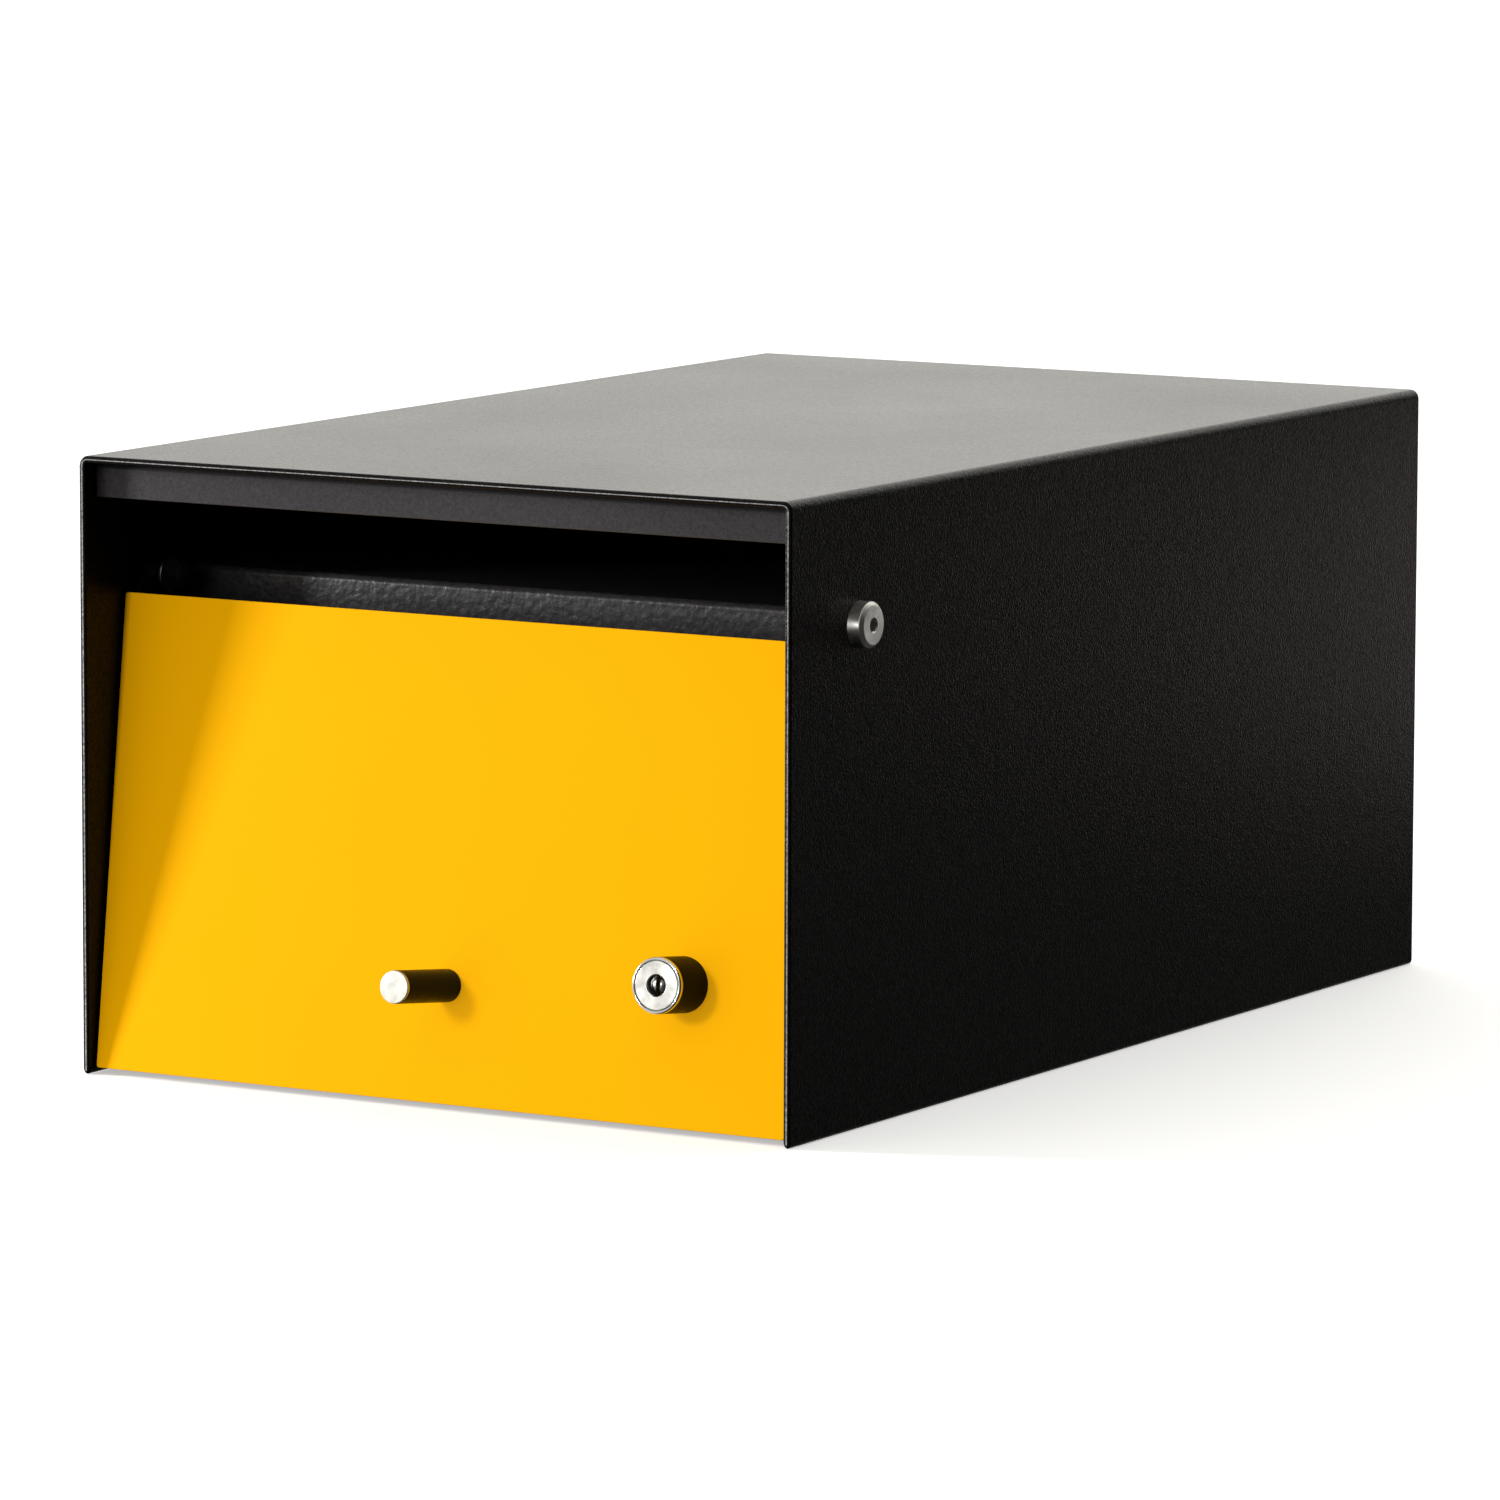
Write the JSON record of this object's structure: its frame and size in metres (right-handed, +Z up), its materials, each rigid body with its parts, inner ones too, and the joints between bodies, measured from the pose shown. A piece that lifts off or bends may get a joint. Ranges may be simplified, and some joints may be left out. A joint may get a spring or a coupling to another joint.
{
  "type": "letterbox",
  "caption": "Rectangular sheet-steel letterbox with an open mail slot over a top-hinged, leaning door that has a round pull and a cam lock.",
  "frame": {"origin": "centre of the four post bolt holes, on the underside of the base", "axes": "+X to the right seen from the front, +Y from the door towards the back, +Z up"},
  "size_m": [0.2786, 0.4592, 0.203],
  "materials": {
    "black_powder_coat": "fine-textured satin powder coat",
    "yellow_powder_coat": "smooth matt powder coat",
    "stainless": "turned and lightly polished",
    "zinc_steel": "bright zinc plate",
    "lock_chrome": "polished chrome plate",
    "lock_nickel": "satin nickel plate",
    "black_anodised": "satin black",
    "bare_aluminium": "faced bright",
    "black_nylon": "moulded",
    "black_rubber": "moulded",
    "foam_tape": "closed-cell foam",
    "wafer_brass": "stamped"
  },
  "bodies": {
    "box": {"hood_shell": "black_powder_coat", "rain_lip": "black_powder_coat", "mail_shelf": "black_powder_coat", "base_pan": "black_powder_coat", "back_panel": "black_powder_coat", "pivot_bolt_left": "stainless", "pivot_bolt_right": "stainless", "pivot_washers": "zinc_steel", "pivot_cap_nuts": "black_nylon", "door_buffers": "black_rubber"},
    "door": {"door_pan": "black_powder_coat", "door_face": "yellow_powder_coat", "face_tape": "foam_tape", "hinge_bush_left": "black_nylon", "hinge_bush_right": "black_nylon", "knob_post": "black_anodised", "knob_end_disc": "bare_aluminium", "knob_screw": "zinc_steel", "knob_washer": "zinc_steel", "lock_collar": "black_anodised", "lock_housing": "lock_chrome", "lock_tooth_washer": "zinc_steel", "lock_nut": "zinc_steel"},
    "lock": {"lock_plug": "lock_nickel", "lock_wafers": "wafer_brass", "lock_cam": "zinc_steel", "cam_washer": "zinc_steel", "cam_screw": "zinc_steel"}
  },
  "joints": [
    {"name": "door_hinge", "type": "hinge", "parent": "box", "child": "door", "pos_m": [0, -0.1753, 0.1608], "axis": [-1, 0, 0], "range_deg": [0, 90]},
    {"name": "lock_turn", "type": "hinge", "parent": "door", "child": "lock", "pos_m": [0.09035, -0.20892, 0.04737], "axis": [0, -0.9928, 0.1201], "range_deg": [0, 90]}
  ]
}
